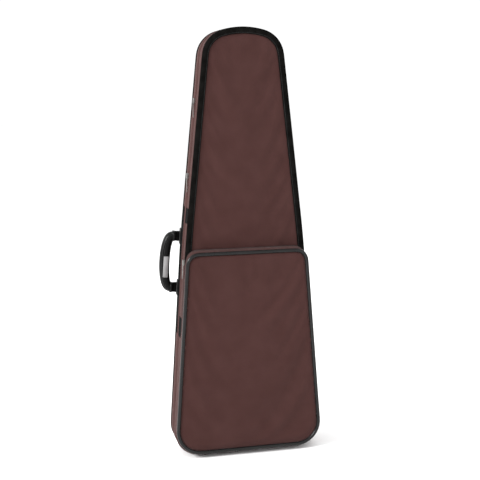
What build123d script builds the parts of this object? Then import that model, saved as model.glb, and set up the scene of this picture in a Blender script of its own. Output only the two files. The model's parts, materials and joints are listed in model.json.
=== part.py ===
"""Padded gig bag for an electric guitar, built as separate sewn, foam and metal pieces.

Millimetres. X runs to the right seen from the front, Y to the back and Z up.
The origin is the middle of the base, on the floor the bag stands on.
The bag is two padded half shells that meet at Y = 0: the rear shell, and the front shell that
opens on a fabric hinge down the right side. The accessory pocket is sewn on the front shell.
"""
from build123d import *
from functools import lru_cache
import os

# Outline of the bag seen from the front, as half widths and heights
LENGTH = 1040.0
BASE_FLAT = 122.5
LOWER_BOUT = (180.0, 62.0)
UPPER_BOUT = (150.4, 470.0)
NECK_FOOT = (139.5, 590.0)
SHOULDER = (98.0, 978.0)
TOP_ARC_END = (47.0, 1034.0)

# Layers of a half shell, outside to inside
HALF_DEPTH = 40.0
FABRIC = 1.5
PANEL = 3.0
BOARD = 9.5
WALL_FOAM = 10.0
SPLIT_GAP = 0.15
PANEL_FACE = HALF_DEPTH - PANEL
BOARD_FACE = PANEL_FACE - BOARD
CAVITY_FACE = BOARD_FACE - FABRIC
WALL_INSIDE = FABRIC + WALL_FOAM

# Edge trim
BINDING_WIDTH = 14.0
BINDING_RISE = 2.0
PIPING_WIDTH = 3.0
TRIM_PROUD = 1.0

# Zips
TAPE_WIDTH = 6.0
TEETH_WIDTH = 1.0
TEETH_PROUD = 0.5
TAPE_EDGE = TEETH_WIDTH + TAPE_WIDTH
HINGE_BOTTOM = 75.0
HINGE_TOP = 965.0

# Accessory pocket
POCKET_SPREAD = 1.0
POCKET_BASE = 12.0
POCKET_TOP = 510.0
POCKET_CORNER = 27.0
POCKET_BACK = HALF_DEPTH + BINDING_RISE + 0.2
POCKET_PIPING = 9.0
POCKET_PIPING_PROUD = 1.5
POCKET_FACE = 68.0
POCKET_PIPING_BACK = 62.0
POCKET_PIPING_FRONT = 70.5
FLAP_HEIGHT = 309.0
FLAP_GAP = 0.2

# Handle on the left side, measured out from its swing axis and along it
HANDLE_Y = 22.0
HANDLE_LOW = 395.0
HANDLE_HIGH = 560.0
PATCH_RISE = 2.5
PATCH_LOW = 298.0
PATCH_HIGH = 618.0
PATCH_Y = (8.0, 36.0)
PAD_HEIGHT = 6.0
PAD_TO_AXIS = 3.0
PAD_LENGTH = 40.0
PAD_WIDTH = 22.0
GRIP_REACH = 30.0
GRIP_STRAIGHT = 80.0
GRIP_SPAN = 128.0
GRIP_THICKNESS = 24.0
GRIP_WIDTH = 28.0
COLLAR_START = 8.0
COLLAR_LENGTH = 6.0
COLLAR_SIZE = (26.0, 30.0)
STRAP_END_WIDTH = 24.0
STRAP_END_THICKNESS = 4.0
STRAP_ROLL_RADIUS = 4.0
SWING_CLEARANCE = 0.3
LABEL = (12.0, 1.0, 52.0)
LABEL_PLACE = (28.0, -12.0)

# Black tabs that carry the handle patch's ends over the front shell
TAB_RISE = 1.5
TAB_Y = (-36.0, -8.0)
TABS = {"upper_side_tab": (575.0, PATCH_HIGH), "lower_side_tab": (PATCH_LOW, 350.0)}

# Sliders and pulls
SLIDER_LENGTH = 12.0
SLIDER_WIDTH = 11.0
SLIDER_HEIGHT = 5.0
SLIDER_GAP = 0.3
UPPER_SLIDER_Z = 870.0
LOWER_SLIDER_Z = 691.0
PULL_PIVOT = (4.2, -7.2)
PULL_LENGTH = 34.0
PULL_WIDTH = 5.0
PULL_THICKNESS = 1.5
EAR_THICKNESS = 1.4
MAIN_PULL_DROOP = 6.0
POCKET_RUN = (320.0, 465.0)
POCKET_SLIDER_Z = 488.0
POCKET_SLIDER_WIDTH = 8.0
POCKET_SLIDER_GAP = 0.8
POCKET_PULL_DROOP = 2.0

# Inside the rear shell
NECK_REST_Z = 730.0
NECK_REST_SIZE = (122.0, 18.0, 70.0)
NECK_GROOVE = (60.0, 12.0)
NECK_STRAP_WIDTH = 38.0
NECK_STRAP_RISE = 5.0
HEADSTOCK_PAD = (90.0, 18.0, 26.0)
END_PAD = (140.0, 20.0, 15.0)

FAR = 2000.0


def region(x_min, x_max, z_min, z_max):
    """Rectangle of the front view."""
    return Pos((x_min + x_max) / 2, (z_min + z_max) / 2) * Rectangle(x_max - x_min, z_max - z_min)


def outline_from(base_z):
    """Front outline of the bag with its base at a height."""
    corner_end = (LOWER_BOUT[0], base_z + LOWER_BOUT[1])
    with BuildSketch() as sketch:
        with BuildLine():
            base = Line((0, base_z), (BASE_FLAT, base_z))
            corner = TangentArc(base @ 1, corner_end, tangent=base % 1)
            side = Line(corner @ 1, UPPER_BOUT)
            bout = TangentArc(side @ 1, NECK_FOOT, tangent=side % 1)
            neck = Line(bout @ 1, SHOULDER)
            TangentArc(neck @ 1, TOP_ARC_END, tangent=neck % 1)
            mirror(about=Plane.YZ)
            ThreePointArc(TOP_ARC_END, (0, LENGTH), (-TOP_ARC_END[0], TOP_ARC_END[1]))
        make_face()
    return sketch.sketch


@lru_cache
def outline(inset=0.0):
    """Front outline of the bag, moved inwards by inset and never below the floor."""
    if inset == 0:
        return outline_from(0)
    return offset(outline_from(0), amount=-inset) & region(-FAR, FAR, 0, FAR)


@lru_cache
def pocket_outline(inset=0.0):
    """Outline of the accessory pocket: the bag's lower part, spread a little, with round corners."""
    lower_part = outline_from(POCKET_BASE) & region(-FAR, FAR, -FAR, POCKET_TOP)
    upper_corners = lower_part.vertices().sort_by(Axis.Y)[-2:]
    rounded = fillet(upper_corners, POCKET_CORNER)
    return offset(rounded, amount=POCKET_SPREAD - inset)


def ring(outer, inner, shape=outline):
    """Strip of an outline between two insets."""
    return shape(outer) - shape(inner)


def slab(face, front, back):
    """Solid with the front-view shape of face, from depth front to depth back along Y."""
    return extrude(Plane.XZ.offset(-back) * face, amount=back - front)


def half_slab(face, side, near, far):
    """Slab on one side of the split: side is 1 for the rear shell and -1 for the front shell."""
    return slab(face, near, far) if side > 0 else slab(face, -far, -near)


def edge_x(z):
    """Half width of the bag at a height on the straight neck side."""
    slope = (NECK_FOOT[0] - SHOULDER[0]) / (SHOULDER[1] - NECK_FOOT[1])
    return NECK_FOOT[0] - slope * (z - NECK_FOOT[1])


def wall_parts():
    """Front-view regions that share the side wall between its left, right, top and base runs."""
    base = region(-BASE_FLAT, BASE_FLAT, -FAR, HALF_DEPTH)
    left = region(-FAR, 0, -FAR, SHOULDER[1]) - base
    right = region(0, FAR, -FAR, SHOULDER[1]) - base
    top = region(-FAR, FAR, SHOULDER[1], FAR)
    return {"left": left, "right": right, "top": top, "base": base}


def save(name, shape):
    """Write one named piece."""
    export_step(shape, f"parts/{name}.step")


def shell_walls(shell, side):
    """Side wall of a half shell: fabric gusset, foam runs and lining."""
    parts = wall_parts()
    hinge_run = region(0, FAR, HINGE_BOTTOM, HINGE_TOP)
    skin = ring(0, FABRIC)
    sides = half_slab(skin - parts["base"], side, TAPE_EDGE, PANEL_FACE)
    hinge_side = half_slab(skin & hinge_run, side, SPLIT_GAP, TAPE_EDGE)
    save(f"{shell}_gusset", sides + hinge_side)
    save(f"{shell}_base_gusset", half_slab(skin & parts["base"], side, TAPE_EDGE, PANEL_FACE))
    for run, area in parts.items():
        foam = ring(FABRIC, WALL_INSIDE) & area
        save(f"{shell}_foam_{run}", half_slab(foam, side, SPLIT_GAP, BOARD_FACE))
    lining = ring(WALL_INSIDE, WALL_INSIDE + FABRIC)
    save(f"{shell}_wall_lining", half_slab(lining, side, SPLIT_GAP, CAVITY_FACE))


def shell_zip(shell, side):
    """One half of the main zip, which runs everywhere but the hinge side."""
    zip_run = region(-FAR, FAR, -FAR, FAR) - region(0, FAR, HINGE_BOTTOM, HINGE_TOP)
    tape = ring(0, FABRIC) & zip_run
    teeth = ring(-TEETH_PROUD, FABRIC) & zip_run
    save(f"{shell}_zip_tape", half_slab(tape, side, TEETH_WIDTH, TAPE_EDGE))
    save(f"{shell}_zip_teeth", half_slab(teeth, side, SPLIT_GAP, TEETH_WIDTH))


def shell_faces(shell, side, trim_width):
    """Panel, foam board and lining of a half shell's large face."""
    save(f"{shell}_panel", half_slab(outline(trim_width), side, PANEL_FACE, HALF_DEPTH))
    save(f"{shell}_board", half_slab(outline(FABRIC), side, BOARD_FACE, PANEL_FACE))
    save(f"{shell}_lining", half_slab(outline(WALL_INSIDE), side, CAVITY_FACE, BOARD_FACE))


def edge_trim():
    """Piping round the back edge and the broad binding round the front edge."""
    piping = ring(-TRIM_PROUD, PIPING_WIDTH)
    save("back_piping", slab(piping, PANEL_FACE, HALF_DEPTH + 0.5))
    binding = ring(-TRIM_PROUD, BINDING_WIDTH)
    save("front_binding", slab(binding, -HALF_DEPTH - BINDING_RISE, -PANEL_FACE))


def pocket():
    """Accessory pocket: a fixed lower part and an upper flap that folds forward."""
    lower = region(-FAR, FAR, -FAR, FLAP_HEIGHT - FLAP_GAP)
    upper = region(-FAR, FAR, FLAP_HEIGHT + FLAP_GAP, FAR)
    panel = pocket_outline(POCKET_PIPING - POCKET_PIPING_PROUD)
    skin = ring(0, FABRIC, pocket_outline)
    piping = pocket_outline(-POCKET_PIPING_PROUD) - panel
    teeth_back = POCKET_BACK + TAPE_WIDTH / 2
    split = teeth_back + TEETH_WIDTH
    flap_tape = split + FLAP_GAP + TEETH_WIDTH
    flap_gusset = flap_tape + TAPE_WIDTH / 2
    for part, area in (("lower", lower), ("flap", upper)):
        gusset_back = POCKET_BACK if part == "lower" else flap_gusset
        save(f"pocket_{part}_panel", slab(panel & area, -POCKET_FACE, -POCKET_FACE + PANEL))
        save(f"pocket_{part}_gusset", slab(skin & area, -POCKET_PIPING_BACK, -gusset_back))
        save(f"pocket_{part}_piping", slab(piping & area, -POCKET_PIPING_FRONT, -POCKET_PIPING_BACK))
    teeth = ring(-TEETH_PROUD, FABRIC, pocket_outline) & upper
    save("pocket_fixed_zip_tape", slab(skin & upper, -teeth_back, -POCKET_BACK))
    save("pocket_fixed_zip_teeth", slab(teeth, -split, -teeth_back))
    save("pocket_flap_zip_tape", slab(skin & upper, -flap_gusset, -flap_tape))
    save("pocket_flap_zip_teeth", slab(teeth, -flap_tape, -split - FLAP_GAP))


def handle_patch():
    """Black patch on the rear half of the left side, under the handle."""
    patch_area = region(-FAR, 0, PATCH_LOW, PATCH_HIGH)
    return slab(ring(-PATCH_RISE, 0) & patch_area, *PATCH_Y)


def side_patches():
    """The handle's patch, and the two tabs on the front shell that meet its ends."""
    save("handle_patch", handle_patch())
    for name, (low, high) in TABS.items():
        save(name, slab(ring(-TAB_RISE, 0) & region(-FAR, 0, low, high), *TAB_Y))


def left_edge_point(shape, z):
    """Point on the left edge of an outline at a height, in the front view."""
    cut = shape & region(-FAR, 0, z, z + 1)
    return Vector(cut.bounding_box().min.X, z)


def handle_plane():
    """Plane whose Z is the handle's swing axis and whose X points out of the bag."""
    low = left_edge_point(outline(), HANDLE_LOW)
    high = left_edge_point(outline(), HANDLE_HIGH)
    along = (high - low).normalized()
    out = Vector(-along.Y, along.X)
    middle = (low + high) / 2 + out * (PATCH_RISE + PAD_HEIGHT + PAD_TO_AXIS)
    return Plane(
        origin=(middle.X, HANDLE_Y, middle.Y),
        x_dir=(out.X, 0, out.Y),
        z_dir=(along.X, 0, along.Y),
    )


def handle_curve():
    """Centre line of the padded grip: a straight run with a bend towards the bag at each end."""
    top = TangentArc(
        (GRIP_REACH, 0, GRIP_STRAIGHT / 2),
        (COLLAR_START + COLLAR_LENGTH, 0, GRIP_SPAN / 2),
        tangent=(0, 0, 1),
    )
    bottom = mirror(top, about=Plane.XY)
    middle = Line((GRIP_REACH, 0, -GRIP_STRAIGHT / 2), (GRIP_REACH, 0, GRIP_STRAIGHT / 2))
    return Wire([bottom.edge(), middle.edge(), top.edge()])


def handle_pad():
    """Pad on the patch, with a trough for the rolled end of the handle's strap."""
    pad = Box(PAD_HEIGHT, PAD_WIDTH, PAD_LENGTH, align=(Align.MAX, Align.CENTER, Align.CENTER))
    trough = Cylinder(STRAP_ROLL_RADIUS + SWING_CLEARANCE, PAD_LENGTH + 1)
    return Pos(-PAD_TO_AXIS, 0, 0) * pad - trough


def handle_strap_end():
    """Rolled webbing end that turns in its pad's trough."""
    roll = Cylinder(STRAP_ROLL_RADIUS, STRAP_END_WIDTH)
    tongue = Box(
        COLLAR_START,
        STRAP_END_THICKNESS,
        STRAP_END_WIDTH,
        align=(Align.MIN, Align.CENTER, Align.CENTER),
    )
    return roll + tongue


def handle():
    """Padded carrying handle, drawn round its swing axis and set on the left side."""
    place = handle_plane()
    curve = handle_curve()
    section = Plane(origin=curve @ 0, x_dir=(0, 1, 0), z_dir=curve % 0) * Ellipse(
        GRIP_WIDTH / 2, GRIP_THICKNESS / 2
    )
    grip = sweep(section, path=curve)
    collar_face = Plane.YZ.offset(COLLAR_START) * Ellipse(COLLAR_SIZE[1] / 2, COLLAR_SIZE[0] / 2)
    collar = extrude(collar_face, amount=COLLAR_LENGTH)
    label = Pos(LABEL_PLACE[0], (GRIP_WIDTH + LABEL[1]) / 2, LABEL_PLACE[1]) * Box(*LABEL)
    ends = (-GRIP_SPAN / 2, GRIP_SPAN / 2)
    collars = Compound([(Pos(0, 0, z) * collar - grip).solid() for z in ends])
    strap_ends = Compound([Pos(0, 0, z) * handle_strap_end() for z in ends])
    patch = handle_patch()
    pads = Compound([(place * Pos(0, 0, z) * handle_pad() - patch).solid() for z in ends])
    save("handle_pads", pads)
    save("handle_grip", place * grip)
    save("handle_collars", place * collars)
    save("handle_strap_ends", place * strap_ends)
    save("handle_label", place * label)


def slider(width, gap):
    """Zip slider over the teeth, X out of the bag and Z along the zip, with ears for its pull."""
    body = Box(SLIDER_HEIGHT, width, SLIDER_LENGTH, align=(Align.MIN, Align.CENTER, Align.CENTER))
    ear_length = PULL_PIVOT[1] * -1 - SLIDER_LENGTH / 2 + EAR_THICKNESS
    ear = Box(
        EAR_THICKNESS * 2,
        EAR_THICKNESS,
        ear_length,
        align=(Align.CENTER, Align.CENTER, Align.MAX),
    )
    ear_y = PULL_WIDTH / 2 + SLIDER_GAP + EAR_THICKNESS / 2
    for side in (-1, 1):
        body += Pos(PULL_PIVOT[0] - EAR_THICKNESS / 2, side * ear_y, -SLIDER_LENGTH / 2) * ear
    return Pos(TEETH_PROUD + gap, 0, 0) * body


def pull(droop, gap):
    """Flat pull with rounded ends, hanging from its pivot and leaning in by droop degrees."""
    tab = SlotOverall(PULL_LENGTH, PULL_WIDTH)
    plate = extrude(Plane.YZ * Rot(0, 0, 90) * tab, amount=PULL_THICKNESS / 2, both=True)
    plate = Pos(0, 0, -PULL_LENGTH / 2 + PULL_THICKNESS / 2) * plate
    pivot_x, pivot_z = PULL_PIVOT
    return Pos(TEETH_PROUD + gap + pivot_x, 0, pivot_z) * Rot(0, droop, 0) * plate


def main_slider_plane(z):
    """Plane at a height on the left edge of the main zip: X out of the bag, Z up the edge."""
    along = Vector(NECK_FOOT[0] - SHOULDER[0], 0, SHOULDER[1] - NECK_FOOT[1]).normalized()
    return Plane(origin=(-edge_x(z), 0, z), x_dir=(-along.Z, 0, along.X), z_dir=along)


def pocket_slider_plane():
    """Plane on the pocket zip's left run: X out of the bag, Z up the run."""
    low, high = (left_edge_point(pocket_outline(), z) for z in POCKET_RUN)
    along = (high - low).normalized()
    x = low.X + along.X / along.Y * (POCKET_SLIDER_Z - low.Y)
    zip_split = POCKET_BACK + TAPE_WIDTH / 2 + TEETH_WIDTH + FLAP_GAP / 2
    return Plane(
        origin=(x, -zip_split, POCKET_SLIDER_Z),
        x_dir=(-along.Y, 0, along.X),
        z_dir=(along.X, 0, along.Y),
    )


def zip_hardware():
    """Two sliders on the main zip and one on the pocket zip, each with its pull."""
    for name, z in (("upper", UPPER_SLIDER_Z), ("lower", LOWER_SLIDER_Z)):
        place = main_slider_plane(z)
        save(f"{name}_zip_slider", place * slider(SLIDER_WIDTH, SLIDER_GAP))
        save(f"{name}_zip_pull", place * pull(MAIN_PULL_DROOP, SLIDER_GAP))
    place = pocket_slider_plane()
    save("pocket_zip_slider", place * slider(POCKET_SLIDER_WIDTH, POCKET_SLIDER_GAP))
    save("pocket_zip_pull", place * pull(POCKET_PULL_DROOP, POCKET_SLIDER_GAP))


def neck_support():
    """Grooved foam neck rest on the back lining, and the strap that holds the neck in it."""
    width, depth, height = NECK_REST_SIZE
    front = CAVITY_FACE - depth
    low, high = NECK_REST_Z - height / 2, NECK_REST_Z + height / 2
    block = slab(region(-width / 2, width / 2, low, high), front, CAVITY_FACE)
    groove = region(-NECK_GROOVE[0] / 2, NECK_GROOVE[0] / 2, low, high)
    save("neck_rest", block - slab(groove, front, front + NECK_GROOVE[1]))
    strap_low = NECK_REST_Z - NECK_STRAP_WIDTH / 2
    strap_high = NECK_REST_Z + NECK_STRAP_WIDTH / 2
    half = width / 2 + FABRIC
    outer = slab(region(-half, half, strap_low, strap_high), front - NECK_STRAP_RISE, CAVITY_FACE)
    inner = slab(
        region(-width / 2, width / 2, strap_low, strap_high),
        front - NECK_STRAP_RISE + FABRIC,
        CAVITY_FACE,
    )
    save("neck_strap", outer - inner)
    tab = region(0, NECK_STRAP_WIDTH, strap_low, strap_high)
    tab_back = front - NECK_STRAP_RISE
    save("neck_strap_fastener", slab(tab, tab_back - FABRIC, tab_back))


def end_pads():
    """Loose foam blocks that take the guitar's ends."""
    inside = outline(WALL_INSIDE + FABRIC)
    width, depth, height = HEADSTOCK_PAD
    top = LENGTH - WALL_INSIDE - FABRIC
    head = inside & region(-width / 2, width / 2, top - height, top)
    save("headstock_pad", slab(head, CAVITY_FACE - depth, CAVITY_FACE))
    width, depth, height = END_PAD
    floor = WALL_INSIDE + FABRIC
    strap_end = region(-width / 2, width / 2, floor, floor + height)
    save("strap_button_pad", slab(strap_end, CAVITY_FACE - depth, CAVITY_FACE))


SHELLS = (("rear", 1), ("front", -1))
TRIM_WIDTHS = {"rear": PIPING_WIDTH, "front": BINDING_WIDTH}

os.makedirs("parts", exist_ok=True)
for shell_name, shell_side in SHELLS:
    shell_walls(shell_name, shell_side)
    shell_zip(shell_name, shell_side)
    shell_faces(shell_name, shell_side, TRIM_WIDTHS[shell_name])
edge_trim()
pocket()
side_patches()
handle()
zip_hardware()
neck_support()
end_pads()
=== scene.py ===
"""Looks for the padded gig bag: sewn cloth, trims, pocket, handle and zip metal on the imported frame.

Metres, in the frame of the CAD: X right, Y back, Z up. Most pieces are swept round the bag's front
outline, so their sections are given as (out, depth) pairs: out of the bag's edge, and along Y.
"""

import bmesh
import bpy
import json
import math
import numpy as np
from mathutils import Matrix, Quaternion, Vector, noise
from mathutils.geometry import delaunay_2d_cdt


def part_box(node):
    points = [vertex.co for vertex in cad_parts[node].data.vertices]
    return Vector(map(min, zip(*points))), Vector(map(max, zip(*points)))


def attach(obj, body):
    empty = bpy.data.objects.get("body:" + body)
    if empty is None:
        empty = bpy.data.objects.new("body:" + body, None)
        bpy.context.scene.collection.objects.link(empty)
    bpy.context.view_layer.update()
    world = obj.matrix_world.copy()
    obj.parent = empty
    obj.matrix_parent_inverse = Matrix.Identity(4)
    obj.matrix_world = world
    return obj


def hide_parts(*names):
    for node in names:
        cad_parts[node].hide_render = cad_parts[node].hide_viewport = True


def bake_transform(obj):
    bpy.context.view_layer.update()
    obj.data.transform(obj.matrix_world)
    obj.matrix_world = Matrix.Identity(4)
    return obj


MM = 0.001
STEP = 4 * MM  # between the points of an outline
FLOOR = 0.2 * MM  # lowest point of a swept piece
EVEN_ROWS = 0.87  # row height of even triangles, against their side

# Outline of the bag, as in the CAD
LENGTH = 1040 * MM
BASE_FLAT = 122.5 * MM
LOWER_BOUT = (180 * MM, 62 * MM)
UPPER_BOUT = (150.4 * MM, 470 * MM)
NECK_FOOT = (139.5 * MM, 590 * MM)
SHOULDER = (98 * MM, 978 * MM)
TOP_ARC_END = (47 * MM, 1034 * MM)
POCKET_SPREAD = 1 * MM
POCKET_BASE = 12 * MM
POCKET_TOP = 510 * MM
POCKET_CORNER = 27 * MM
HINGE_SPAN = (75 * MM, 965 * MM)
FLAP_HEIGHT = 309 * MM
BINDING_END = 490 * MM

# Depths from the split between the shells
ZIP_HALF = 8 * MM
PANEL_EDGE = 37 * MM
POCKET_BACK = 42.3 * MM
POCKET_ZIP = 46.3 * MM
POCKET_FRONT = 62 * MM
POCKET_FACE = 65.8 * MM
LINING_FACE = 26.3 * MM

# Which way each shell lies in Y
SHELLS = {"rear": 1, "front": -1}

# Handle, measured out from its swing axis and along it
GRIP_FOOT = 8 * MM
GRIP_REACH = 30 * MM
GRIP_HALF_SPAN = 64 * MM
LABEL_PLACE = (28 * MM, -12 * MM)

# Length of a cloth simulation
CLOTH_FRAMES = 18

# Camera, fitted to the photograph's view
CAMERA_PLACE = (-0.496, -2.210, 0.885)
CAMERA_TARGET = (-0.0135, -0.041, 0.535)
CAMERA_ROLL = -0.63
CAMERA_LENS = 69.57


# ---------------------------------------------------------------- curves in the front view

def arc(start, end, tangent):
    """Points of the circular arc that leaves start along tangent and reaches end."""
    start, end, tangent = (np.array(v, float) for v in (start, end, tangent))
    chord = end - start
    length = np.hypot(*chord)
    count = max(2, round(length / STEP))
    turn = 2 * math.atan2(tangent[0] * chord[1] - tangent[1] * chord[0], tangent @ chord)
    if abs(turn) < 1e-6:
        return start + np.linspace(0, 1, count)[:, None] * chord
    heading = math.atan2(tangent[1], tangent[0])
    angles = heading + turn * np.linspace(0, 1, count)
    radius = length / (2 * math.sin(turn / 2))
    x = start[0] + radius * (np.sin(angles) - math.sin(heading))
    z = start[1] - radius * (np.cos(angles) - math.cos(heading))
    return np.stack([x, z], 1)


def line(start, end):
    """Points of a straight run."""
    return arc(start, end, np.subtract(end, start))


def side_curve(base_z):
    """Right side of the bag from the middle of the base to the top of the neck side."""
    corner_end = (LOWER_BOUT[0], base_z + LOWER_BOUT[1])
    runs = [
        line((0, base_z), (BASE_FLAT, base_z)),
        arc((BASE_FLAT, base_z), corner_end, (1, 0)),
        line(corner_end, UPPER_BOUT),
        arc(UPPER_BOUT, NECK_FOOT, np.subtract(UPPER_BOUT, LOWER_BOUT)),
        line(NECK_FOOT, SHOULDER),
    ]
    return np.vstack([runs[0]] + [run[1:] for run in runs[1:]])


def closed_by_mirror(right):
    """Closed curve from its right half, which runs from the middle of the base to the top."""
    left = right[-2:0:-1] * (-1, 1)
    return np.vstack([right, left])


def distance_along(points):
    """Distance along a line of points, from the first to each."""
    gaps = np.linalg.norm(np.diff(points, axis=0), axis=1)
    return np.concatenate([[0], np.cumsum(gaps)])


def smoothed(points):
    """Closed curve with its small kinks eased, at an even step."""
    ring = np.vstack([points, points[:1]])
    along = distance_along(ring)
    at = np.linspace(0, along[-1], round(along[-1] / STEP), endpoint=False)
    even = np.stack([np.interp(at, along, ring[:, k]) for k in (0, 1)], 1)
    neighbours = np.arange(-4, 5)
    weights = np.exp(-0.5 * (neighbours / 1.5) ** 2)
    shifted = [np.roll(even, k, axis=0) * weight for k, weight in zip(neighbours, weights)]
    return sum(shifted) / weights.sum()


class Run:
    """Curve in the front view with its outward normals and the distance along it."""

    def __init__(self, points, closed=True, normals=None):
        self.points, self.closed = points, closed
        if normals is None:
            if closed:
                ahead = np.roll(points, -1, axis=0) - np.roll(points, 1, axis=0)
            else:
                ahead = np.gradient(points, axis=0)
            normals = np.stack([ahead[:, 1], -ahead[:, 0]], 1)
            normals /= np.hypot(*normals.T)[:, None]
        self.normals = normals
        self.along = distance_along(points)

    def part(self, inside):
        """The one stretch whose points satisfy inside(x, z)."""
        keep = inside(*self.points.T)
        start = np.flatnonzero(keep & ~np.roll(keep, 1))[0]
        order = np.roll(np.arange(len(keep)), -start)
        order = order[keep[order]]
        return Run(self.points[order], closed=False, normals=self.normals[order])

    def inset(self, amount):
        """Closed curve moved inwards."""
        return Run(self.points - self.normals * amount)


def bag_run():
    """Outline of the bag."""
    side = side_curve(0)
    shoulder = arc(SHOULDER, TOP_ARC_END, np.subtract(SHOULDER, NECK_FOOT))
    top = arc((0, LENGTH), TOP_ARC_END, (1, 0))[::-1]
    return Run(smoothed(closed_by_mirror(np.vstack([side, shoulder[1:], top[1:]]))))


def pocket_run():
    """Outline of the pocket: the bag's lower part, spread a little, with rounded upper corners."""
    side = side_curve(POCKET_BASE)
    side = side[side[:, 1] < POCKET_TOP - POCKET_CORNER]
    corner = arc(side[-1], (side[-1][0] - POCKET_CORNER, POCKET_TOP), (0, 1))
    top = line(corner[-1], (0, POCKET_TOP))
    outline = Run(smoothed(closed_by_mirror(np.vstack([side, corner[1:], top[1:]]))))
    return outline.inset(-POCKET_SPREAD)


# ---------------------------------------------------------------- meshes

def make_object(name, verts, faces, material, uvs=None):
    """Smooth-shaded object from vertices and faces, with one UV per vertex."""
    mesh = bpy.data.meshes.new(name)
    mesh.from_pydata([tuple(v) for v in verts], [], [tuple(f) for f in faces])
    mesh.materials.append(material)
    if uvs is not None:
        layer = mesh.uv_layers.new(name="UVMap")
        corners = np.array([loop.vertex_index for loop in mesh.loops])
        layer.data.foreach_set("uv", np.asarray(uvs, np.float32)[corners].ravel())
    mesh.polygons.foreach_set("use_smooth", [True] * len(mesh.polygons))
    mesh.update()
    obj = bpy.data.objects.new(name, mesh)
    bpy.context.collection.objects.link(obj)
    return obj


def grid_faces(rows, columns, wrap_rows, wrap_columns):
    """Quads of a grid of vertices, joined round where it wraps."""
    i, j = np.meshgrid(
        np.arange(rows if wrap_rows else rows - 1),
        np.arange(columns if wrap_columns else columns - 1),
        indexing="ij",
    )
    right, up = (i + 1) % rows, (j + 1) % columns
    corners = [i * columns + j, right * columns + j, right * columns + up, i * columns + up]
    return np.stack([c.ravel() for c in corners], 1)


def capped_grid(rows, columns):
    """Faces of a grid that wraps round its columns, closed at both ends."""
    last = (rows - 1) * columns
    ends = [list(range(columns)), [last + j for j in reversed(range(columns))]]
    return grid_faces(rows, columns, False, True).tolist() + ends


def sweep(name, run, outs, depths, material, lowest=FLOOR):
    """Closed section carried along a run: outs and depths give its points, at each step or for all."""
    rows = len(run.points)
    outs, depths = (np.atleast_2d(a) * np.ones((rows, 1)) for a in (outs, depths))
    columns = outs.shape[1]
    x = run.points[:, :1] + run.normals[:, :1] * outs
    z = np.maximum(run.points[:, 1:] + run.normals[:, 1:] * outs, lowest)
    verts = np.stack([x, depths, z], 2).reshape(-1, 3)
    around = distance_along(np.stack([outs[0], depths[0]], 1))
    uvs = np.stack(np.meshgrid(run.along, around, indexing="ij"), 2).reshape(-1, 2)
    faces = grid_faces(rows, columns, True, True) if run.closed else capped_grid(rows, columns)
    obj = make_object(name, verts, faces, material, uvs)
    face_outwards(obj)
    return obj


def face_outwards(obj, weld=0):
    """Turns all faces of a closed mesh to face out, once vertices closer than weld are joined."""
    work = bmesh.new()
    work.from_mesh(obj.data)
    if weld:
        bmesh.ops.remove_doubles(work, verts=work.verts, dist=weld)
    bmesh.ops.recalc_face_normals(work, faces=work.faces)
    work.to_mesh(obj.data)
    work.free()


def level_part(run, up):
    """How squarely each point of a run faces up, or down where up is -1, from 0 to 1."""
    return np.clip(up * run.normals[:, 1:] - 0.5, 0, 0.5) * 2


def section(points, side):
    """Section from (out, depth) pairs in millimetres, with its depths towards one shell."""
    outs, depths = np.array(points).T * MM
    return outs, side * depths


def strip(out, depth_near, depth_far, thickness, bulge, side, count):
    """Section of a cloth strip between two depths, bulging out, as (outs, depths)."""
    t = np.linspace(0, 1, count)
    outer = out + bulge * np.sin(math.pi * t) ** 0.7
    depth = depth_near + (depth_far - depth_near) * t
    outs = np.concatenate([outer, outer[..., ::-1] - thickness], -1)
    return outs, side * np.concatenate([depth, depth[::-1]])


def tube(out, depth, radius, count=14):
    """Round section centred at (out, depth), as (outs, depths)."""
    angle = np.linspace(0, 2 * math.pi, count, endpoint=False)
    return out + radius * np.cos(angle), depth + radius * np.sin(angle)


def distance_to_curve(points, boundary):
    """Distance from each point to the nearest point of a curve."""
    return np.concatenate([
        np.hypot(*(part[:, None] - boundary[None]).transpose(2, 0, 1)).min(1)
        for part in np.array_split(points, max(1, len(points) // 500))
    ])


def inside_curve(points, boundary):
    """True for the points that lie inside a closed curve."""
    (x, z), (x1, z1) = points.T[..., None], boundary.T
    x2, z2 = np.roll(boundary, -1, axis=0).T
    spans = (z1 > z) != (z2 > z)
    rise = np.where(z2 == z1, 1, z2 - z1)
    return (spans & (x < x1 + (z - z1) * (x2 - x1) / rise)).sum(1) % 2 == 1


def fill(name, boundary, spacing, height, material, thickness):
    """Sheet that fills a closed curve, its Y given by height(x, z, distance to the edge)."""
    low, high = boundary.min(0), boundary.max(0)
    xs, zs = np.meshgrid(
        np.arange(low[0], high[0], spacing), np.arange(low[1], high[1], spacing * EVEN_ROWS)
    )
    xs[1::2] += spacing / 2
    inner = np.stack([xs.ravel(), zs.ravel()], 1)
    inner = inner[inside_curve(inner, boundary)]
    inner = inner[distance_to_curve(inner, boundary) > spacing * 0.7]
    flat = [Vector(p) for p in np.vstack([boundary, inner])]
    edges = [(i, (i + 1) % len(boundary)) for i in range(len(boundary))]
    verts, _, faces, *_ = delaunay_2d_cdt(flat, edges, [], 0, 1e-7, False)
    flat = np.array(verts)
    faces = np.array(faces)
    faces = faces[inside_curve(flat[faces].mean(1), boundary)]
    depth = height(flat[:, 0], flat[:, 1], distance_to_curve(flat, boundary))
    points = np.stack([flat[:, 0], depth, flat[:, 1]], 1)
    obj = make_object(name, points, faces, material, flat)
    solid = obj.modifiers.new("thickness", "SOLIDIFY")
    solid.thickness = thickness
    solid.offset = 0
    return obj


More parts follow.
